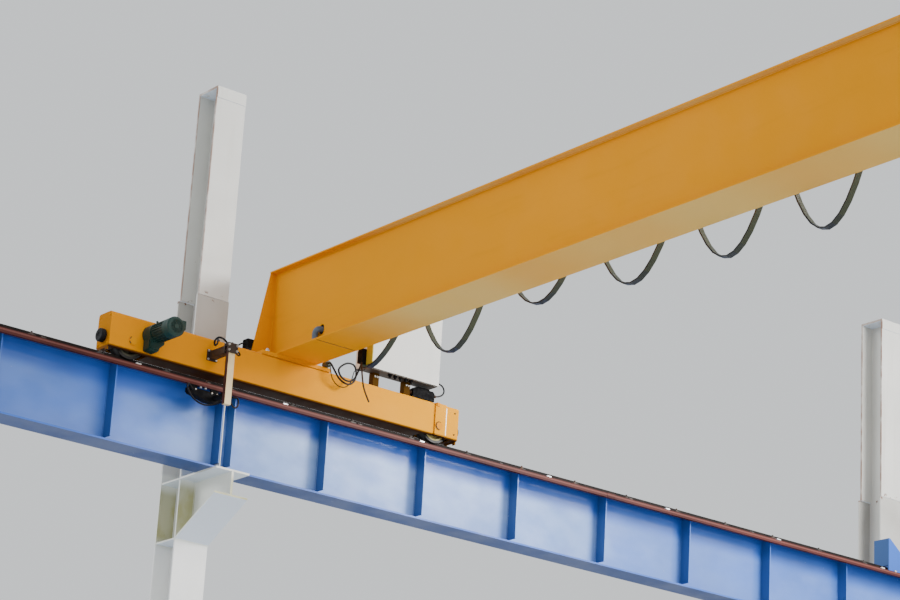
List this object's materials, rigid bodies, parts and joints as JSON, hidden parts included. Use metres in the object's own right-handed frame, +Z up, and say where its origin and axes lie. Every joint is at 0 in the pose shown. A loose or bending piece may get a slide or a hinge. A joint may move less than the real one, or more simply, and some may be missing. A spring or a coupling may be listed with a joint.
{
  "type": "overhead bridge crane",
  "caption": "Single-girder overhead travelling crane with end carriages, festoon cable and conductor line, on two runways carried by bracketed columns.",
  "frame": {"origin": "on the floor, in the middle of the six columns", "axes": "+X along the runways, from the drive end of the carriages towards the control cabinet; +Y across the hall towards the runway with the conductor line; +Z up"},
  "size_m": [16.44, 17.9, 10.585],
  "materials": {
    "column_paint": "satin",
    "runway_blue": "gloss",
    "shim_white": "satin",
    "rail_steel": "mill scale, bright head",
    "conductor_red": "satin",
    "galvanised": "zinc plated",
    "bridge_orange": "gloss",
    "arm_brown": "satin",
    "rubber": "matte",
    "wheel_yellow": "satin",
    "axle_steel": "machined",
    "drive_teal": "satin",
    "cream_bar": "satin",
    "black_plastic": "matte",
    "cabinet_paint": "fine structure",
    "conduit_grey": "matte",
    "cable_black": "matte",
    "wire_rope": "greased"
  },
  "bodies": {
    "runway": {"columns_north": "column_paint", "columns_south": "column_paint", "upper_columns": "column_paint", "base_plates": "column_paint", "head_plates": "column_paint", "brackets_north": "column_paint", "brackets_south": "column_paint", "runway_girders_north": "runway_blue", "runway_girders_south": "runway_blue", "joint_shims": "shim_white", "rail_north": "rail_steel", "rail_south": "rail_steel", "end_stops": "runway_blue", "conductor_line": "conductor_red", "conductor_hangers": "galvanised"},
    "bridge": {"girder_webs": "bridge_orange", "girder_top_flange": "bridge_orange", "girder_bottom_flange": "bridge_orange", "girder_end_plates": "bridge_orange", "connection_plates": "bridge_orange", "end_carriage_north": "bridge_orange", "end_carriage_south": "bridge_orange", "carriage_end_plates": "bridge_orange", "buffers": "rubber", "wheel_axles": "bridge_orange", "gearboxes": "drive_teal", "drive_motors": "drive_teal", "collector_arm": "arm_brown", "collector_bar": "cream_bar", "collector_head": "black_plastic", "collector_leads": "cable_black", "cable_elbow": "conduit_grey", "junction_box": "black_plastic", "lead_gland": "black_plastic", "saddle_leads": "cable_black", "control_cabinet": "cabinet_paint", "cabinet_posts": "bridge_orange", "connector_box": "black_plastic", "cabinet_lead": "cable_black", "loose_lead": "cable_black", "festoon_track": "galvanised", "festoon_brackets": "bridge_orange", "festoon_anchor": "bridge_orange", "festoon_carriers": "black_plastic", "festoon_cable": "cable_black", "trolley_frames": "bridge_orange", "trolley_wheels": "axle_steel", "hoist_drum": "bridge_orange", "hoist_motor": "drive_teal", "hoist_gearbox": "drive_teal", "hoist_ropes": "wire_rope", "hook_block": "wheel_yellow"},
    "wheel_north_west": {"wheel_north_west": "wheel_yellow"},
    "wheel_north_east": {"wheel_north_east": "wheel_yellow"},
    "wheel_south_west": {"wheel_south_west": "wheel_yellow"},
    "wheel_south_east": {"wheel_south_east": "wheel_yellow"}
  },
  "joints": [
    {"name": "bridge_travel", "type": "slide", "parent": "runway", "child": "bridge", "axis": [1, 0, 0], "range_m": [-6.455, 5.195]},
    {"name": "wheel_north_west_spin", "type": "hinge", "parent": "bridge", "child": "wheel_north_west", "pos_m": [-0.956, 8.25, 8.0403], "axis": [0, 1, 0], "range_deg": [-2960, 2385]},
    {"name": "wheel_north_east_spin", "type": "hinge", "parent": "bridge", "child": "wheel_north_east", "pos_m": [2.044, 8.25, 8.0403], "axis": [0, 1, 0], "range_deg": [-2960, 2385]},
    {"name": "wheel_south_west_spin", "type": "hinge", "parent": "bridge", "child": "wheel_south_west", "pos_m": [-0.956, -8.25, 8.0403], "axis": [0, 1, 0], "range_deg": [-2960, 2385]},
    {"name": "wheel_south_east_spin", "type": "hinge", "parent": "bridge", "child": "wheel_south_east", "pos_m": [2.044, -8.25, 8.0403], "axis": [0, 1, 0], "range_deg": [-2960, 2385]}
  ],
  "couplings": [
    {"joint": "wheel_north_west_spin", "follows": "bridge_travel", "rad_per_m": 8},
    {"joint": "wheel_north_east_spin", "follows": "bridge_travel", "rad_per_m": 8},
    {"joint": "wheel_south_west_spin", "follows": "bridge_travel", "rad_per_m": 8},
    {"joint": "wheel_south_east_spin", "follows": "bridge_travel", "rad_per_m": 8}
  ]
}
